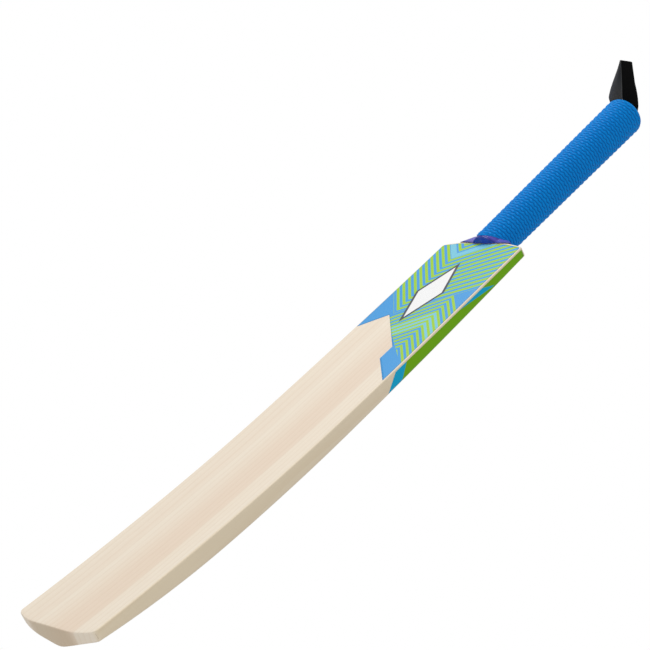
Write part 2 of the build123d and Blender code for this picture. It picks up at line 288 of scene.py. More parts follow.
print("grip")
grip = dict(rowPitch=3.9, around=20, steps=14, across=16, depth=1.4, sunk=0.8, saddle=11.0, saddleCurve=0.72,
            zigzag=0.26, rise=0.72, riseCurve=0.8, unevenness=0.2, fadeIn=1.6, fadeOut=3.0, footFlare=0.5,
            flareHeight=10.0, flareCurve=1.6, roundSteps=14, roundBump=0.22, lip=0.6, smoothRelief=0.6)


def gripOutside(t):
    overCane = handle["twine"] + handle["gap"] + handle["gripWall"]
    low = caneRadius(handle["gripFoot"]) + overCane
    high = handle["caneEnd"] + overCane
    return low + (high - low) * (t - handle["gripFoot"]) / (axisLength - handle["gripFoot"])


def rimAt(theta):
    # the grip's lower rim: low in front and behind, riding up over the shoulders
    return handle["gripFoot"] + grip["saddle"] * (1 - np.abs(np.cos(theta))) ** grip["saddleCurve"]


def gripMesh():
    around = grip["around"] * grip["across"]
    theta = np.linspace(0, 2 * math.pi, around, endpoint=False)
    roundStart = axisLength - handle["endRound"]
    rowCount = round((roundStart - handle["gripFoot"]) / grip["rowPitch"])
    levels = np.linspace(handle["gripFoot"], roundStart, rowCount * grip["steps"] + 1)
    rings, relief = [], []
    smooth = grip["smoothRelief"]

    def ring(r, t, height):
        rings.append(onHandle(np.sin(theta) * r, np.cos(theta) * r, t + 0 * theta))
        relief.append(height + 0 * theta)

    # the inside of the lower rim, and its thickness
    foot = rimAt(theta)
    outside = gripOutside(handle["gripFoot"]) + grip["footFlare"]
    inside = outside - handle["gripWall"] + 0.1
    for r, t in ((inside, foot + 1.5), (inside + 0.5, foot), (outside - 0.9, foot)):
        ring(r, t, 0.4)
    # rows of scales: each rises slowly, drops off quickly, and zigzags round the handle
    turns = theta / (2 * math.pi) * grip["around"]
    wave = 1 - np.abs(turns % 1 * 2 - 1)
    for i, level in enumerate(levels):
        t = np.maximum(level, foot + 0.004 * i)
        row = (t - handle["gripFoot"]) / grip["rowPitch"] + grip["zigzag"] * wave
        phase = row % 1.0
        rising = np.sin(np.clip(phase / grip["rise"], 0, 1) * math.pi / 2) ** grip["riseCurve"]
        falling = np.cos((phase - grip["rise"]) / (1 - grip["rise"]) * math.pi / 2)
        scale = np.where(phase < grip["rise"], rising, falling)
        stagger = np.cos(theta * grip["around"] + math.pi * np.floor(row))
        scale = scale * (1 - grip["unevenness"] + grip["unevenness"] * stagger)
        fade = np.clip((t - foot) / grip["fadeIn"], 0, 1)
        fade = fade * np.clip((roundStart + 2 - t) / grip["fadeOut"], 0, 1)
        near = np.clip(1 - (t - foot) / grip["flareHeight"], 0, 1)
        r = gripOutside(t) - grip["sunk"] + grip["depth"] * scale * fade
        ring(r + grip["footFlare"] * near ** grip["flareCurve"], t, scale * fade + smooth * (1 - fade))
    # the rounded end, and the wall of its opening
    radius = handle["endRound"]
    for a in np.linspace(0, math.pi / 2, grip["roundSteps"])[1:]:
        bump = grip["roundBump"] * math.cos(a) * (0.5 + 0.5 * math.sin(a * 12))
        r = gripOutside(axisLength) - radius + radius * math.cos(a) + bump
        ring(r, roundStart + radius * math.sin(a) - 0.02, smooth)
    opening, lip = handle["opening"], grip["lip"]
    wall = axisLength - handle["endWall"]
    for r, t in ((opening + lip, axisLength), (opening + lip / 4, axisLength - lip / 4),
                 (opening, axisLength - lip), (opening, wall), (handle["caneEnd"] + 0.5, wall - 0.02)):
        ring(r, t, smooth)
    faces = gridFaces(len(rings), around, closed=True)
    obj = makeMesh("grip_mesh", np.concatenate(rings), faces, "bat", weld=False)
    # the relief height, which the grip's material reads to paint shade into the grooves
    attribute = obj.data.attributes.new("relief", "FLOAT", "POINT")
    attribute.data.foreach_set("value", np.concatenate(relief).astype(np.float32))
    return obj


gripObj = gripMesh()
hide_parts("rubber_grip")


print("labels")
film = 0.2
label = dict(top=591.5, peak=594.2, margin=1.8, faceFoot=374.5, leftFoot=76.0, point=97.0, pointAt=-0.48,
             step=49.0, stepFoot=30.0, stepAt=0.42, cornerDrop=2.2, cornerEase=0.6, cornerRun=1.2,
             faceRows=70, faceColumns=90, edgeFoot=390.5, slant=17.5, edgeRows=70, edgeColumns=8,
             backWidth=78.0, backLength=190.0, backCorner=13.0, backRows=80, backColumns=70)


def filmMesh(name, surface, skin, rows, columns):
    # a printed film: its face, and a rim turned down onto the wood
    outer = surface(0.0)
    rim = surface(skin)
    points = list(outer.reshape(-1, 3))
    faces = gridFaces(rows, columns)
    border = [(0, j) for j in range(columns)] + [(i, columns - 1) for i in range(1, rows)]
    border += [(rows - 1, j) for j in range(columns - 2, -1, -1)] + [(i, 0) for i in range(rows - 2, 0, -1)]
    start = len(points)
    for i, j in border:
        points.append(rim[i, j])
    n = len(border)
    for k in range(n):
        a, b = border[k], border[(k + 1) % n]
        faces.append((a[0] * columns + a[1], b[0] * columns + b[1], start + (k + 1) % n, start + k))
    return makeMesh(name, points, faces, "bat")


def faceLabelMesh():
    # its foot climbs to a point left of the middle, then falls to the right edge with one step in it
    half = bat["shoulderWidth"] / 2 - label["margin"]
    stepX = label["stepAt"] * half
    lowX = [-half, label["pointAt"] * half, stepX, stepX + 0.05, half]
    climbs = (label["leftFoot"], label["point"], label["step"], label["stepFoot"], 0)
    lowZ = [label["faceFoot"] + climb for climb in climbs]
    xs = np.unique(np.concatenate([np.linspace(-half, half, label["faceColumns"]), lowX]))
    corner = half - label["cornerRun"]
    outer, ease = label["top"] - label["cornerDrop"], label["top"] - label["cornerEase"]
    highX = [-half, -corner, -bat["flare"], bat["flare"], corner, half]
    highZ = [outer, ease, label["peak"], label["peak"], ease, outer]
    low = np.interp(xs, lowX, lowZ)
    high = np.interp(xs, highX, highZ)
    rows = label["faceRows"]

    def surface(sink):
        s = np.linspace(0, 1, rows)[:, None]
        z = low + (high - low) * s
        x = np.broadcast_to(xs, z.shape)
        y = frontY(x, z) - film + sink
        return np.stack([x, y, z], -1)

    return filmMesh("face_label_film", surface, film, rows, len(xs))


def backLabelMesh():
    # a panel with rounded corners, laid over the spine
    half = label["backWidth"] / 2
    corner = label["backCorner"]
    xs = half * np.sin(np.linspace(-math.pi / 2, math.pi / 2, label["backColumns"]))
    over = np.clip(np.abs(xs) - (half - corner), 0, corner)
    cut = corner - np.sqrt(corner ** 2 - over ** 2)
    low = label["top"] - label["backLength"] + cut
    high = label["top"] - cut
    rows = label["backRows"]

    def surface(sink):
        s = np.linspace(0, 1, rows)[:, None]
        z = low + (high - low) * s
        x = np.broadcast_to(xs, z.shape)
        y = backY(x, z) + film - sink
        return np.stack([x, y, z], -1)

    return filmMesh("back_label_film", surface, film, rows, len(xs))


def edgeLabelMesh(name, side):
    # a strip up one edge, cut on a slant at its foot
    rows, columns = label["edgeRows"], label["edgeColumns"]

    def surface(sink):
        s = np.linspace(0, 1, rows)[:, None]
        w = np.linspace(0, 1, columns)[None, :]
        footLine = label["edgeFoot"] - label["slant"] * w
        z = footLine + (label["top"] - label["margin"] - footLine) * s
        front = faceLine(z) + label["margin"]
        back = edgeBack(z) - bat["back"] / 2
        y = front + (back - front) * w
        over = np.clip(y - (edgeBack(z) - bat["back"]), 0, bat["back"])
        tuck = bat["back"] - np.sqrt(bat["back"] ** 2 - over ** 2)
        x = side * (halfWidth(z) + film - sink - tuck)
        return np.stack([np.broadcast_to(x, z.shape), y, z], -1)

    return filmMesh(name, surface, film, rows, columns)


films = {"face_label": faceLabelMesh(), "back_label": backLabelMesh(),
         "right_edge_label": edgeLabelMesh("right_edge_film", 1),
         "left_edge_label": edgeLabelMesh("left_edge_film", -1)}
for node, obj in films.items():
    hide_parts(node)


print("tape")
tape = dict(front=9.9, back=13.7, side=34.0, foot=1.9, sideRise=3.1, squareness=8, skin=0.5, ledge=16.2,
            ledgeRun=4.0, underLedge=0.45, top=16.8, tuck=1.2, middle=16.0, fullness=0.72, wing=7.5,
            wingStart=22.0, wingRun=10.0, around=144, lowRows=9, highRows=15,
            wrinkles=((0.12, 3, 4.1), (0.08, 7, 2.3)))


def tapeMesh():
    # one wrapped skin: from the wood of the shoulder, under the ledge of the handle, up into the grip
    theta = np.linspace(0, 2 * math.pi, tape["around"], endpoint=False)
    sine, cosine = np.sin(theta), np.cos(theta)
    # its edge on the wood is a rounded oblong, higher towards the sides
    reachFront = np.where(cosine > 0, tape["front"], tape["back"]) / np.maximum(np.abs(cosine), 1e-6)
    reachSide = tape["side"] / np.maximum(np.abs(sine), 1e-6)
    power = tape["squareness"]
    low = (reachFront ** -power + reachSide ** -power) ** (-1 / power)
    lowT = tape["foot"] + tape["sideRise"] * (low * sine / tape["side"]) ** 2
    # the left wing rides up beside the grip
    wing = tape["wing"] * np.clip((low - tape["wingStart"]) / tape["wingRun"], 0, 1) * (sine < 0)
    topT = rimAt(theta) + tape["tuck"] + wing
    # where the edge is close to the handle the skin turns under the ledge, further out it climbs in a slope
    share = np.clip((low - tape["ledge"]) / tape["ledgeRun"], 0, 1)
    share = share * share * (3 - 2 * share)
    halfway = (low + tape["middle"]) / 2 * share + tape["ledge"] * (1 - share)
    midR = np.maximum(tape["ledge"], halfway)
    slopeT = lowT + (topT - lowT) * tape["fullness"]
    midT = slopeT * share + (tape["foot"] + tape["underLedge"]) * (1 - share)
    rings = []

    def ring(r, t):
        wrinkle = sum(depth * np.sin(theta * turns + t * climb) for depth, turns, climb in tape["wrinkles"])
        outside = r + tape["skin"] + wrinkle
        rings.append(onHandle(sine * outside, cosine * outside, t))

    ring(low - 1.4, lowT + 0.2)
    ring(low - 0.2, lowT - 0.1)
    for s in np.linspace(0, 1, tape["lowRows"]):
        ring(low + (midR - low) * s, lowT + (midT - lowT) * s)
    for s in np.linspace(0, 1, tape["highRows"])[1:]:
        ring(midR + (tape["top"] - midR) * s, midT + (topT - midT) * s)
    faces = gridFaces(len(rings), tape["around"], closed=True)
    return makeMesh("neck_tape_wrap", np.concatenate(rings), faces, "bat")


tapeObj = tapeMesh()
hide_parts("neck_tape")


print("strap")
strap = dict(width=20.0, thick=1.1, gap=15.0, length=55.4, lean=59.5, footHalf=13.0, rows=17, legSteps=46,
             sag=0.7, creaseHalf=0.58, crease=((-0.45, 0.25), (0.0, 0.42), (0.45, 0.25)), rootLift=0.35,
             footTuck=0.25, wallTop=0.2, bow=10.4, bowPeak=0.66, bowEnd=0.3, slant=1.8, narrowing=0.08,
             shift=1.2, nearTwist=5.1, nearPeak=0.25, farTwist=1.7, farPeak=0.34, settle=0.14, bulge=1.6,
             bulgeEnd=0.6, clear=0.45, edgeClear=0.35, rim=24.0, edgeThin=0.35, edgeRun=0.14)


def strapLine():
    # the middle of the band: (x, distance along the loop, height above the handle's end)
    t, half, length = strap["thick"], strap["gap"] / 2, strap["length"]
    footTop = caneTop - axisLength + t
    line = []
    for s in np.linspace(0, 1, 7):
        line.append((-strap["footHalf"] + (strap["footHalf"] - half - t) * s, 0.0, footTop - t / 2))
    for s in np.linspace(0, 1, 5)[1:]:
        x = -half - t / 2 - strap["footTuck"] * (1 - s)
        line.append((x, 0.0, footTop - t / 2 + (strap["wallTop"] - footTop) * s))
    for s in np.linspace(0, 1, strap["legSteps"])[1:]:
        sag = strap["sag"] * math.sin(math.pi * s) * (1 - s)
        x = (half + t / 2) * (1 - s) + strap["creaseHalf"] * s + sag
        line.append((-x, s * length, strap["rootLift"] * (1 - s)))
    crease = [(x, length + over, 0) for x, over in strap["crease"]]
    line = np.array(line + crease + [(-x, d, u) for x, d, u in line[::-1]])
    # the left leg bows out
    left = (line[:, 0] < 0) & (line[:, 1] > 0)
    out = np.clip(line[:, 1] / length, 0, 1)
    bow = np.sin(math.pi * out ** strap["bowPeak"]) * (1 - out) ** strap["bowEnd"]
    line[left, 0] -= strap["bow"] * bow[left]
    return line


def strapPoint(x, d, u, a, thickX, thickD):
    # one corner of the band: a runs from -1 to 1 across its width, thickX and thickD set it off the middle
    out = min(max(d / strap["length"], 0), 1)
    thin = 1 - strap["edgeThin"] * max(0, abs(a) - (1 - strap["edgeRun"])) / strap["edgeRun"]
    onLoop = d > 0
    along = d + (thickD * thin if onLoop else 0) - strap["slant"] * out * (a + 1) / 2
    above = u + (0 if onLoop else thickD * thin)
    sideways = x + thickX * thin + strap["shift"] * out
    if onLoop and x > 0:
        sideways -= strap["nearTwist"] * math.sin(math.pi * out ** strap["nearPeak"]) * (1 - a) / 2
    if onLoop and x < 0:
        sideways += strap["farTwist"] * math.sin(math.pi * out ** strap["farPeak"]) * (1 + a) / 2
    # near the handle the band lies across the end, further out it leans over the rim
    lean = math.radians(strap["lean"])
    forward, up = math.sin(lean), math.cos(lean)
    settled = min(out / strap["settle"], 1)
    settled = settled * settled * (3 - 2 * settled)
    w = a * strap["width"] / 2 * (1 - strap["narrowing"] * out)
    front = along * forward - w * (1 - settled) - w * up * settled
    height = along * up + w * forward * settled + above
    height += strap["bulge"] * math.sin(math.pi * min(out / strap["bulgeEnd"], 1)) * max(a, 0)
    if out > 0 and front < strap["rim"]:
        height = max(height, strap["clear"] + strap["edgeClear"] * abs(a))
    return sideways, front, height


def strapMesh():
    # one band: foot, left leg, crease, right leg, foot, drawn across its width row by row
    end = onHandle(0.0, 0.0, axisLength)
    line = strapLine()
    across = np.linspace(-1, 1, strap["rows"])
    offsets = np.gradient(line[:, [0, 1]] + line[:, [2]] * np.array([[0, 1]]), axis=0)
    offsets /= np.linalg.norm(offsets, axis=1)[:, None] + 1e-9
    points = []
    for side in (-strap["thick"] / 2, strap["thick"] / 2):
        for (x, d, u), (alongX, alongD) in zip(line, offsets):
            for a in across:
                sideways, front, height = strapPoint(x, d, u, a, -side * alongD, side * alongX)
                points.append(end + np.array([sideways, 0, 0]) + front * axisFront + height * axisDir)
    count, columns = len(line), len(across)
    second = count * columns
    faces = gridFaces(count, columns) + gridFaces(count, columns, start=second)
    # the rims that join both sides
    rim = [((i, j), (i + 1, j)) for i in range(count - 1) for j in (0, columns - 1)]
    rim += [((i, j), (i, j + 1)) for j in range(columns - 1) for i in (0, count - 1)]
    for here, there in rim:
        a, b = here[0] * columns + here[1], there[0] * columns + there[1]
        faces.append((a, b, second + b, second + a))
    obj = makeMesh("strap_band", points, faces, None, weld=False)
    # painted light: the first side of the band, the inside of the loop, is marked so its material paints it a
    # lighter grey, as if lit from the left
    inside = obj.data.attributes.new("inside", "FLOAT", "POINT")
    inside.data.foreach_set("value", np.repeat([1.0, 0.0], second).astype(np.float32))
    return obj


strapObj = strapMesh()
hinge = Vector(onHandle(0.0, 0.0, axisLength) * mm)
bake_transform(strapObj)
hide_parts("strap_loop", "strap_foot")


print("materials")
black, white = (0, 0, 0, 1), (1, 1, 1, 1)


def rgb(r, g, b):
    # screen colour 0..255 to the linear value a shader takes
    screen = [c / 255 for c in (r, g, b)]
    return tuple(c / 12.92 if c <= 0.04045 else ((c + 0.055) / 1.055) ** 2.4 for c in screen) + (1,)


class Nodes:
    def __init__(self, name):
        self.material = bpy.data.materials.new(name)
        self.material.use_nodes = True
        self.tree = self.material.node_tree
        self.shader = self.tree.nodes["Principled BSDF"]
        self.coord = self.tree.nodes.new("ShaderNodeTexCoord").outputs["Object"]

    def put(self, value, socket):
        if isinstance(value, bpy.types.NodeSocket):
            self.tree.links.new(value, socket)
        else:
            socket.default_value = value

    def math(self, operation, *values, clamp=False):
        node = self.tree.nodes.new("ShaderNodeMath")
        node.operation = operation
        node.use_clamp = clamp
        for i, value in enumerate(values):
            self.put(value, node.inputs[i])
        return node.outputs[0]

    def split(self, vector):
        node = self.tree.nodes.new("ShaderNodeSeparateXYZ")
        self.put(vector, node.inputs[0])
        return node.outputs

    def join(self, x, y, z):
        node = self.tree.nodes.new("ShaderNodeCombineXYZ")
        for i, value in enumerate((x, y, z)):
            self.put(value, node.inputs[i])
        return node.outputs[0]

    def attribute(self, name):
        node = self.tree.nodes.new("ShaderNodeAttribute")
        node.attribute_name = name
        return node.outputs["Fac"]

    def stretch(self, scale):
        node = self.tree.nodes.new("ShaderNodeVectorMath")
        node.operation = "MULTIPLY"
        self.put(self.coord, node.inputs[0])
        node.inputs[1].default_value = scale
        return node.outputs[0]

    def noise(self, vector, scale, detail=4.0, rough=0.55, distortion=0.0):
        node = self.tree.nodes.new("ShaderNodeTexNoise")
        self.put(vector, node.inputs["Vector"])
        node.inputs["Scale"].default_value = scale
        node.inputs["Detail"].default_value = detail
        node.inputs["Roughness"].default_value = rough
        node.inputs["Distortion"].default_value = distortion
        return node.outputs[0]

    def ramp(self, value, stops, interpolation="LINEAR"):
        node = self.tree.nodes.new("ShaderNodeValToRGB")
        node.color_ramp.interpolation = interpolation
        self.put(value, node.inputs[0])
        while len(node.color_ramp.elements) < len(stops):
            node.color_ramp.elements.new(0.5)
        for element, (place, colour) in zip(node.color_ramp.elements, stops):
            element.position = place
            element.color = colour
        return node.outputs[0]

    def mix(self, share, a, b, blend="MIX"):
        node = self.tree.nodes.new("ShaderNodeMix")
        node.data_type = "RGBA"
        node.blend_type = blend
        self.put(share, node.inputs[0])
        self.put(a, node.inputs[6])
        self.put(b, node.inputs[7])
        return node.outputs[2]

    def bump(self, height, strength, distance):
        node = self.tree.nodes.new("ShaderNodeBump")
        node.inputs["Strength"].default_value = strength
        node.inputs["Distance"].default_value = distance
        self.put(height, node.inputs["Height"])
        self.tree.links.new(node.outputs[0], self.shader.inputs["Normal"])

    def finish(self, colour, roughness, **others):
        self.put(colour, self.shader.inputs["Base Color"])
        self.put(roughness, self.shader.inputs["Roughness"])
        for name, value in others.items():
            self.put(value, self.shader.inputs[name.replace("_", " ")])
        return self.material


def dress(obj, material):
    obj.data.materials.clear()
    obj.data.materials.append(material)


willow = dict(wander=0.010, slant=0.25, linesPerMetre=150.0, crowding=3.0, bands=9.26,
              sapwood=rgb(230, 220, 204), cream=rgb(227, 214, 197), heartwood=rgb(224, 207, 189),
              cloud=rgb(222, 200, 172), cloudShare=0.28, line=rgb(196, 166, 132), lineShare=0.15,
              fibre=rgb(205, 180, 150), fibreShare=0.30, edge=rgb(222, 202, 160), edgeShare=0.55,
              edgeFrom=0.0528, edgeFull=0.0536, end=rgb(184, 164, 134), endShare=0.6, roughness=0.46)


def willowMaterial():
    n = Nodes("willow")
    x, y, z = n.split(n.coord)
    wander = n.noise(n.stretch((3, 3, 1.3)), 2.0, 2.0)
    drift = n.math("MULTIPLY", n.math("SUBTRACT", wander, 0.5), willow["wander"])
    across = n.math("ADD", n.math("ADD", x, n.math("MULTIPLY", y, willow["slant"])), drift)
    # straight grain: a line every five to nine millimetres, closer towards one side
    crowded = n.math("MULTIPLY", n.math("MULTIPLY", across, across), willow["crowding"])
    rings = n.math("MULTIPLY", n.math("ADD", across, crowded), willow["linesPerMetre"])
    saw = n.math("FRACT", n.math("ADD", rings, 40.0))
    line = n.ramp(saw, [(0.0, black), (0.62, (0.10, 0.10, 0.10, 1)), (0.93, white), (1.0, black)])
    fibre = n.noise(n.stretch((900, 900, 14)), 1.0, 3.0)
    broad = n.noise(n.stretch((45, 45, 1.6)), 1.0, 3.0, 0.5)
    # pale sapwood on both sides, a pinker band of heartwood right of the middle
    pale, cream, pink = willow["sapwood"], willow["cream"], willow["heartwood"]
    place = n.math("ADD", n.math("MULTIPLY", across, willow["bands"]), 0.5, clamp=True)
    ground = n.ramp(place, [(0.0, pale), (0.24, cream), (0.33, pale), (0.47, cream),
                            (0.60, pink), (0.76, pink), (0.80, pale), (1.0, pale)])
    colour = n.mix(n.math("MULTIPLY", broad, willow["cloudShare"]), ground, willow["cloud"])
    colour = n.mix(n.math("MULTIPLY", line, willow["lineShare"]), colour, willow["line"])
    strong = n.math("SUBTRACT", fibre, 0.35, clamp=True)
    colour = n.mix(n.math("MULTIPLY", strong, willow["fibreShare"]), colour, willow["fibre"])
    # the edges are cut across the growth rings and look yellower
    edge = n.ramp(n.math("ABSOLUTE", x), [(willow["edgeFrom"], black), (willow["edgeFull"], white)])
    colour = n.mix(n.math("MULTIPLY", edge, willow["edgeShare"]), colour, willow["edge"])
    # end grain at the toe: greyer, fading out in the first millimetre
    endGrain = n.ramp(n.math("MULTIPLY", z, 80.0), [(0.0, white), (0.10, black)])
    colour = n.mix(n.math("MULTIPLY", endGrain, willow["endShare"]), colour, willow["end"])
    n.bump(n.math("ADD", n.math("MULTIPLY", fibre, 0.6), n.math("MULTIPLY", line, 0.5)), 0.18, 0.0004)
    roughness = n.math("ADD", willow["roughness"], n.math("MULTIPLY", fibre, 0.12))
    return n.finish(colour, roughness, Specular_IOR_Level=0.25)


dress(bladeObj, willowMaterial())


def caneMaterial():
    n = Nodes("cane")
    fibre = n.noise(n.stretch((1500, 1500, 10)), 1.0, 3.0)
    colour = n.ramp(fibre, [(0.3, rgb(172, 134, 84)), (0.7, rgb(214, 180, 128))])
    n.bump(fibre, 0.3, 0.0003)
    return n.finish(colour, 0.6)


def plainMaterial(name, dark, light, scale, roughness, depth=0.0002, **others):
    n = Nodes(name)
    grain = n.noise(n.coord, scale, 4.0)
    colour = n.ramp(grain, [(0.3, dark), (0.7, light)])
    n.bump(grain, 0.25, depth)
    return n.finish(colour, roughness, **others)


caneLook = caneMaterial()
stripLook = plainMaterial("strip_rubber", rgb(24, 24, 24), rgb(40, 40, 40), 900.0, 0.8)
twineLook = plainMaterial("twine", rgb(190, 172, 132), rgb(226, 212, 176), 1500.0, 0.8)
wireLook = plainMaterial("staple_wire", rgb(150, 150, 152), rgb(186, 186, 190), 2500.0, 0.35, Metallic=1.0)
for node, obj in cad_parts.items():
    if node.startswith("cane"):
        dress(obj, caneLook)
    elif node.startswith("rubber_strip"):
        dress(obj, stripLook)
    elif node == "twine_binding":
        dress(obj, twineLook)
    elif node == "strap_staples":
        dress(obj, wireLook)


# the tape's colours from its foot up, and where along it each one stands
tapeColours = dict(foot=0.5952, perMetre=220.0, unevenness=0.3,
                   stops=[(0.1, rgb(30, 62, 170)), (0.35, rgb(22, 30, 124)),
                          (0.6, rgb(50, 48, 150)), (0.95, rgb(84, 76, 176))])


def tapeMaterial():
    n = Nodes("neck_tape")
    x, y, z = n.split(n.coord)
    t = n.math("ADD", z, n.math("MULTIPLY", y, -handle["lean"]))
    grain = n.math("MULTIPLY", n.noise(n.coord, 300.0, 3.0), tapeColours["unevenness"])
    climbed = n.math("MULTIPLY", n.math("SUBTRACT", t, tapeColours["foot"]), tapeColours["perMetre"])
    colour = n.ramp(n.math("ADD", climbed, grain), tapeColours["stops"])
    n.bump(n.noise(n.stretch((60, 60, 900)), 1.0, 2.0), 0.35, 0.0005)
    return n.finish(colour, 0.3, Specular_IOR_Level=0.35)


dress(tapeObj, tapeMaterial())


# painted shade: groove is a darker blue painted into the grooves between the rows of scales, where shade
# falls
gripColours = dict(dark=rgb(0, 122, 206), light=rgb(0, 134, 216), paintedGrooveShade=rgb(0, 58, 128), paintedGrooveShadeShare=0.75,
                   roughness=0.42)


def gripMaterial():
    n = Nodes("grip_rubber")
    speck = n.noise(n.coord, 1400.0, 3.0)
    patch = n.noise(n.coord, 30.0, 2.0)
    colour = n.mix(patch, gripColours["dark"], gripColours["light"])
    # painted shade: where the relief is low, in the grooves, the colour is darkened towards a darker blue
    paintedGrooveShade = n.ramp(n.attribute("relief"), [(0.05, white), (0.6, black)])
    colour = n.mix(n.math("MULTIPLY", paintedGrooveShade, gripColours["paintedGrooveShadeShare"]), colour, gripColours["paintedGrooveShade"])
    n.bump(speck, 0.22, 0.0002)
    roughness = n.math("ADD", gripColours["roughness"], n.math("MULTIPLY", speck, 0.16))
    return n.finish(colour, roughness, Specular_IOR_Level=0.07)


dress(gripObj, gripMaterial())


# weft and warp: how closely the threads follow each other along the band and across it
# painted light: inside is a lighter grey painted over the black webbing on the inner face of the loop, as if
# lit from the left
webbing = dict(up=0.5, forward=0.87, weft=6800.0, warp=5200.0, dark=rgb(3, 3, 3), light=rgb(13, 13, 14),
               inside=rgb(104, 104, 104), paintedInsideLightShare=0.85)


def webbingMaterial():
    n = Nodes("webbing")
    x, y, z = n.split(n.coord)
    up, forward = webbing["up"], webbing["forward"]
    along = n.math("SUBTRACT", n.math("MULTIPLY", z, up), n.math("MULTIPLY", y, forward))
    over = n.math("ADD", n.math("MULTIPLY", z, forward), n.math("MULTIPLY", y, up))
    weft = n.math("SINE", n.math("MULTIPLY", along, webbing["weft"]))
    warp = n.math("SINE", n.math("MULTIPLY", over, webbing["warp"]))
    weave = n.math("MULTIPLY", n.math("ADD", n.math("MULTIPLY", weft, warp), 1.0), 0.5)
    fuzz = n.noise(n.coord, 2500.0, 3.0)
    colour = n.ramp(n.math("ADD", n.math("MULTIPLY", weave, 0.6), n.math("MULTIPLY", fuzz, 0.4)),
                    [(0.2, webbing["dark"]), (0.8, webbing["light"])])
    # painted light: the inner face of the loop is painted a lighter grey, as if lit from the left
    inside = n.math("MULTIPLY", n.attribute("inside"), webbing["paintedInsideLightShare"])
    colour = n.mix(inside, colour, webbing["inside"])
    n.bump(weave, 0.6, 0.0003)
    return n.finish(colour, 0.85, Specular_IOR_Level=0.06)


dress(strapObj, webbingMaterial())

# the print on the face and the back, in metres: where its lines turn, their slopes, pitches and limits
art = dict(apex=-0.0205, leftSlope=1.14, rightSlope=0.68, upperPitch=0.0092, upperShare=0.52,
           peak=0.031, riseSlope=0.80, fallSlope=-1.07, lowerPitch=0.0080, lowerShare=0.50,
           fieldsMeet=0.4735, lowerFrom=-0.0235, haze=(0.4560, 0.4800), band=(0.5672, 0.5765),
           leftPatchTop=0.4435, leftPatchTo=-0.0215, rightPatchFrom=0.5085,
           cornerSlope=0.885, cornerTop=0.4457, lozenge=(-0.003, 0.5110),
           lozengeHalf=(0.0185, 0.0500), lozengeInside=0.84,
           lime=rgb(150, 196, 30), sky=rgb(56, 150, 214), paleSky=rgb(114, 190, 212), patch=rgb(56, 148, 212),
           rim=rgb(62, 64, 74), plain=rgb(232, 232, 232))


def stripes(n, value, period, share):
    # 1 on the stripe, 0 between, from a length in metres
    return n.math("LESS_THAN", n.math("FRACT", n.math("ADD", n.math("DIVIDE", value, period), 100.0)), share)


def between(n, value, limits):
    # 1 where the value lies between both limits
    low, high = limits
    return n.math("MULTIPLY", n.math("GREATER_THAN", value, low), n.math("LESS_THAN", value, high))


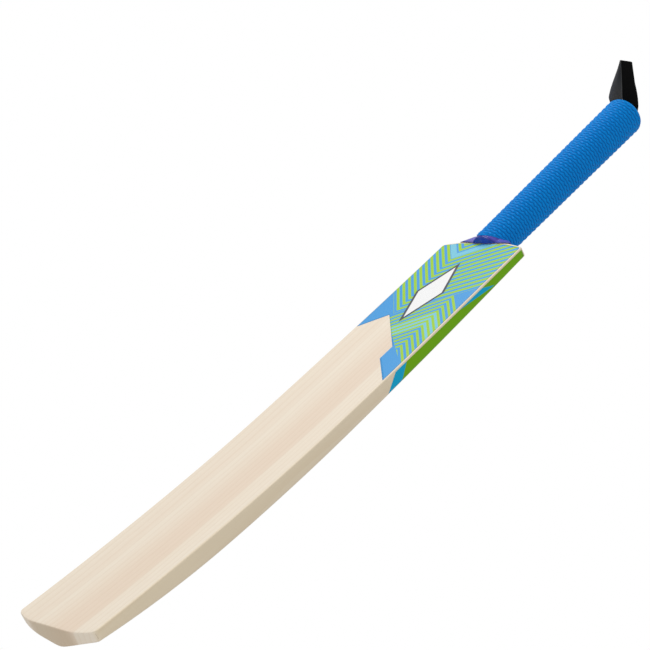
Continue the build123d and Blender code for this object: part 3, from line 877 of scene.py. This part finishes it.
def faceLabelMaterial():
    n = Nodes("face_sticker")
    x, y, z = n.split(n.coord)
    # upper field: V stripes rising both ways from a line left of the middle
    fromApex = n.math("SUBTRACT", x, art["apex"])
    toLeft = n.math("MAXIMUM", n.math("MULTIPLY", fromApex, -1.0), 0.0)
    leftRise = n.math("MULTIPLY", toLeft, art["leftSlope"])
    rightRise = n.math("MULTIPLY", n.math("MAXIMUM", fromApex, 0.0), art["rightSlope"])
    upper = n.math("SUBTRACT", z, n.math("ADD", leftRise, rightRise))
    upperStripe = stripes(n, upper, art["upperPitch"], art["upperShare"])
    # lower field: stripes rising to a peak right of the middle, then falling steeply
    fromPeak = n.math("SUBTRACT", x, art["peak"])
    rise = n.math("MULTIPLY", n.math("MINIMUM", fromPeak, 0.0), art["riseSlope"])
    fall = n.math("MULTIPLY", n.math("MAXIMUM", fromPeak, 0.0), art["fallSlope"])
    lower = n.math("SUBTRACT", z, n.math("ADD", rise, fall))
    lowerStripe = stripes(n, lower, art["lowerPitch"], art["lowerShare"])
    belowUpper = n.math("LESS_THAN", upper, art["fieldsMeet"])
    inLower = n.math("MULTIPLY", belowUpper, n.math("GREATER_THAN", x, art["lowerFrom"]))
    stripe = n.math("ADD", n.math("MULTIPLY", upperStripe, n.math("SUBTRACT", 1.0, inLower)),
                    n.math("MULTIPLY", lowerStripe, inLower))
    haze = n.math("MULTIPLY", between(n, lower, art["haze"]), inLower)
    colour = n.mix(stripe, n.mix(haze, art["sky"], art["paleSky"]), art["lime"])
    # a paler chevron band above the upper field's middle
    colour = n.mix(between(n, upper, art["band"]), colour, art["paleSky"])
    # plain patches: left below the stripes, right at the edge, and the lowest corner
    leftLine = n.math("ADD", z, n.math("MULTIPLY", x, art["leftSlope"]))
    leftPatch = n.math("MULTIPLY", n.math("LESS_THAN", leftLine, art["leftPatchTop"]),
                       n.math("LESS_THAN", x, art["leftPatchTo"]))
    rightPatch = n.math("MULTIPLY", belowUpper, n.math("GREATER_THAN", lower, art["rightPatchFrom"]))
    cornerLine = n.math("ADD", z, n.math("MULTIPLY", x, art["cornerSlope"]))
    cornerPatch = n.math("MULTIPLY", n.math("LESS_THAN", cornerLine, art["cornerTop"]),
                         n.math("GREATER_THAN", x, 0.0))
    for patch in (leftPatch, rightPatch, cornerPatch):
        colour = n.mix(patch, colour, art["patch"])
    # a plain white lozenge with a dark rim
    (middleX, middleZ), (halfX, halfZ) = art["lozenge"], art["lozengeHalf"]
    sideways = n.math("DIVIDE", n.math("ABSOLUTE", n.math("SUBTRACT", x, middleX)), halfX)
    upwards = n.math("DIVIDE", n.math("ABSOLUTE", n.math("SUBTRACT", z, middleZ)), halfZ)
    lozenge = n.math("ADD", sideways, upwards)
    colour = n.mix(n.math("LESS_THAN", lozenge, 1.0), colour, art["rim"])
    colour = n.mix(n.math("LESS_THAN", lozenge, art["lozengeInside"]), colour, art["plain"])
    n.bump(n.noise(n.coord, 700.0, 2.0), 0.08, 0.0001)
    return n.finish(colour, 0.4, Specular_IOR_Level=0.2)


# the print on the edges: green, with a cyan foot and a slanting cyan band
edgeArt = dict(front=-0.004, footSlope=1.17, footTop=0.4115, bandFrom=0.4700, bandFromSlope=9.0,
               bandTo=0.5220, bandToSlope=2.4, green=rgb(110, 170, 0), cyan=rgb(0, 164, 208))


def edgeLabelMaterial():
    n = Nodes("edge_sticker")
    x, y, z = n.split(n.coord)
    front = n.math("SUBTRACT", y, edgeArt["front"])
    footLine = n.math("ADD", z, n.math("MULTIPLY", front, edgeArt["footSlope"]))
    fromLine = n.math("SUBTRACT", z, n.math("MULTIPLY", front, edgeArt["bandFromSlope"]))
    toLine = n.math("SUBTRACT", z, n.math("MULTIPLY", front, edgeArt["bandToSlope"]))
    band = n.math("MULTIPLY", n.math("GREATER_THAN", fromLine, edgeArt["bandFrom"]),
                  n.math("LESS_THAN", toLine, edgeArt["bandTo"]))
    colour = n.mix(n.math("LESS_THAN", footLine, edgeArt["footTop"]), edgeArt["green"], edgeArt["cyan"])
    colour = n.mix(band, colour, edgeArt["cyan"])
    n.bump(n.noise(n.coord, 700.0, 2.0), 0.08, 0.0001)
    return n.finish(colour, 0.4, Specular_IOR_Level=0.15)


faceLook, edgeLook = faceLabelMaterial(), edgeLabelMaterial()
for node, obj in films.items():
    dress(obj, edgeLook if "edge" in node else faceLook)


print("studio")
floor = dict(half=60.0, height=-1.25, dark=rgb(246, 246, 246), light=rgb(247, 247, 247))
floorMesh = bpy.data.meshes.new("floor")
half = floor["half"]
floorOutline = ((-half, -half), (half, -half), (half, half), (-half, half))
floorCorners = [(x, y, floor["height"]) for x, y in floorOutline]
floorMesh.from_pydata(floorCorners, [], [(0, 1, 2, 3)])
floorObj = bpy.data.objects.new("floor", floorMesh)
bpy.context.scene.collection.objects.link(floorObj)
paint = Nodes("floor_paint")
paintColour = paint.ramp(paint.noise(paint.coord, 3.0, 2.0), [(0.3, floor["dark"]), (0.7, floor["light"])])
dress(floorObj, paint.finish(paintColour, 0.9))

# how bright the white ground is as a light, and as the camera sees it
backdrop = dict(lighting=0.62, seen=1.0)
world = bpy.data.worlds.new("studio")
world.use_nodes = True
bpy.context.scene.world = world
tree = world.node_tree
background = tree.nodes["Background"]
background.inputs["Color"].default_value = (1, 1, 1, 1)
path = tree.nodes.new("ShaderNodeLightPath")
strength = tree.nodes.new("ShaderNodeMix")
strength.inputs[2].default_value = backdrop["lighting"]
strength.inputs[3].default_value = backdrop["seen"]
tree.links.new(path.outputs["Is Camera Ray"], strength.inputs[0])
tree.links.new(strength.outputs[0], background.inputs["Strength"])

lamps = {"key": dict(place=(-1.1, -2.4, 2.1), aim=(0, 0, 0.6), size=2.2, power=58.0),
         "fill": dict(place=(2.6, -1.0, -0.3), aim=(0, 0, 0.45), size=2.0, power=9.0)}
for name, lamp in lamps.items():
    data = bpy.data.lights.new(name, "AREA")
    data.shape = "DISK"
    data.size = lamp["size"]
    data.energy = lamp["power"]
    obj = bpy.data.objects.new(name, data)
    bpy.context.scene.collection.objects.link(obj)
    obj.location = lamp["place"]
    obj.rotation_euler = (Vector(lamp["aim"]) - Vector(lamp["place"])).to_track_quat("-Z", "Y").to_euler()

shot = dict(place=(1.29259, -0.75905, -0.55933), look=(-0.74039142, 0.40337709, 0.53768715),
            up=(-0.05052600, -0.83105524, 0.55389017), angle=0.335881)
data = bpy.data.cameras.new("camera")
camera = bpy.data.objects.new("camera", data)
bpy.context.scene.collection.objects.link(camera)
back = -Vector(shot["look"]).normalized()
upward = Vector(shot["up"]).normalized()
right = upward.cross(back).normalized()
camera.matrix_world = Matrix.Translation(shot["place"]) @ Matrix((right, upward, back)).transposed().to_4x4()
data.sensor_fit = "HORIZONTAL"
data.angle = shot["angle"]
data.clip_start = 0.01
bpy.context.scene.camera = camera
bpy.context.scene.view_settings.view_transform = "Standard"

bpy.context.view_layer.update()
